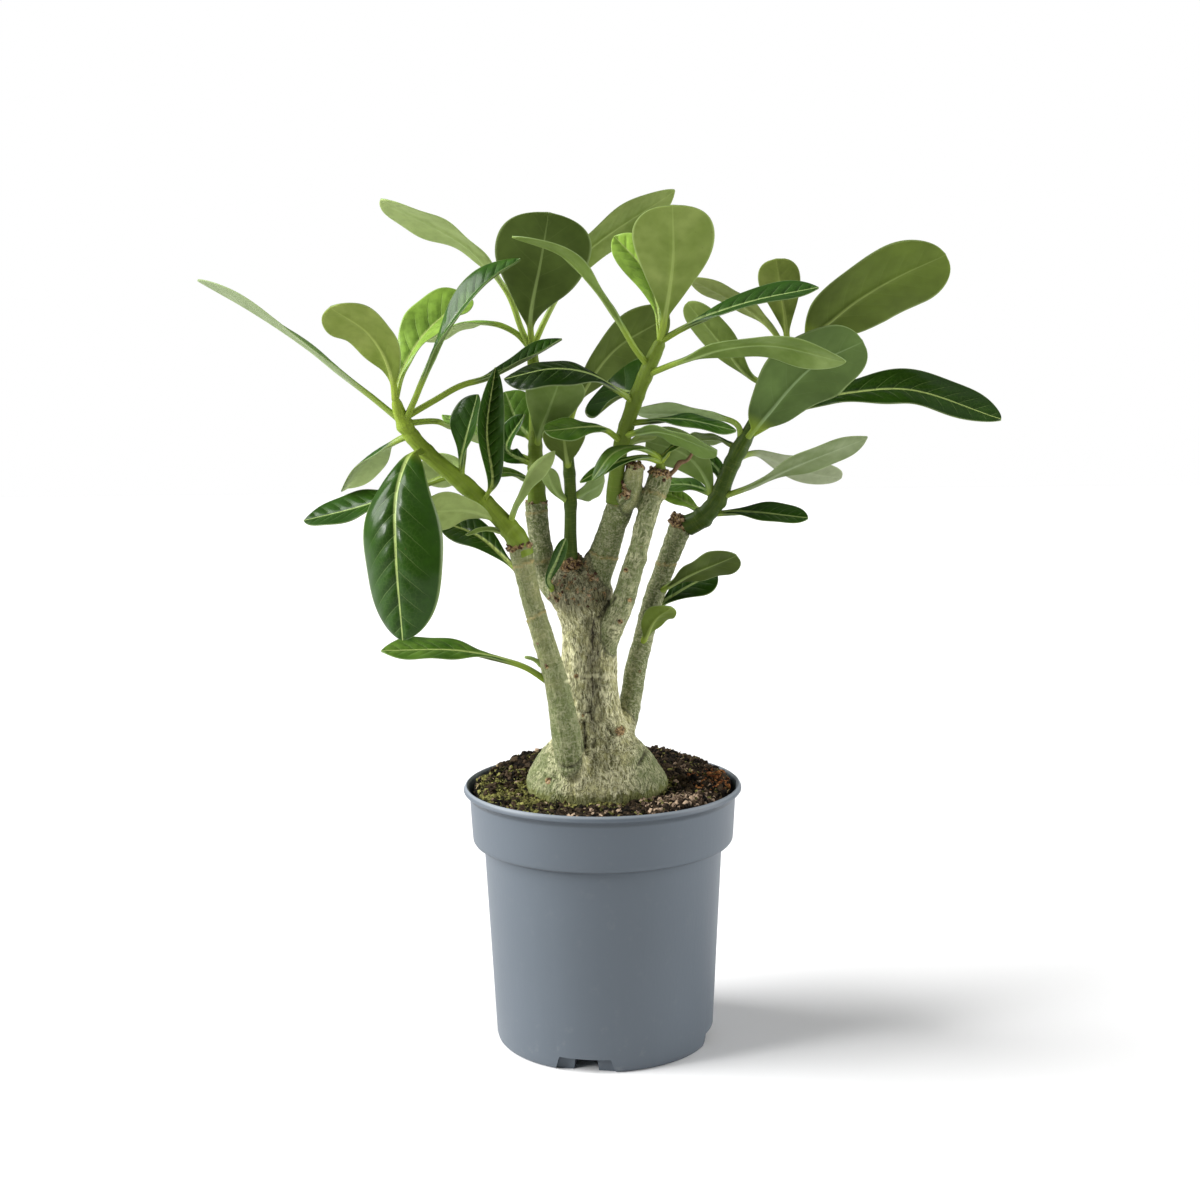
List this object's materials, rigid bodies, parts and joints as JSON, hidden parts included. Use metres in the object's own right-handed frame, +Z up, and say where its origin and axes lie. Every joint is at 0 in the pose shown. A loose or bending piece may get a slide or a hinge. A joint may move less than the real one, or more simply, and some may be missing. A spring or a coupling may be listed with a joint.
{
  "type": "potted plant",
  "caption": "Desert rose plant with a swollen woody stem, short bare branches and leathery leaves, growing in peat in a round tapered nursery pot with a collared rim.",
  "frame": {"origin": "on the pot's axis, on the surface that its foot stands on, in the middle of the part's extent", "axes": "+Z up the pot's axis; the pictured front looks to -Y; +X is the viewer's right"},
  "size_m": [0.3312, 0.1229, 0.3655],
  "materials": {
    "plastic": "smooth moulded plastic, slightly satin",
    "peat": "damp lumpy peat with moss and grit",
    "bark": "finely wrinkled grey-green bark",
    "leaf": "waxy, half gloss",
    "leaf_dark": "waxy, half gloss",
    "husk": "dry and rough"
  },
  "bodies": {
    "root": {"pot": "plastic", "peat": "peat", "wood": "bark", "shoot_left": "leaf", "shoot_tall": "leaf", "shoot_centre": "leaf", "shoot_crown": "leaf", "shoot_bud": "leaf", "shoot_right": "leaf", "leaf_low_left": "leaf", "leaf_bud_left": "leaf", "leaf_dark_left": "leaf_dark", "leaf_blunt_right": "leaf", "leaf_dark_right": "leaf_dark", "leaf_notched_right": "leaf", "leaf_slender_left": "leaf", "dry_stalk": "husk"}
  },
  "joints": []
}
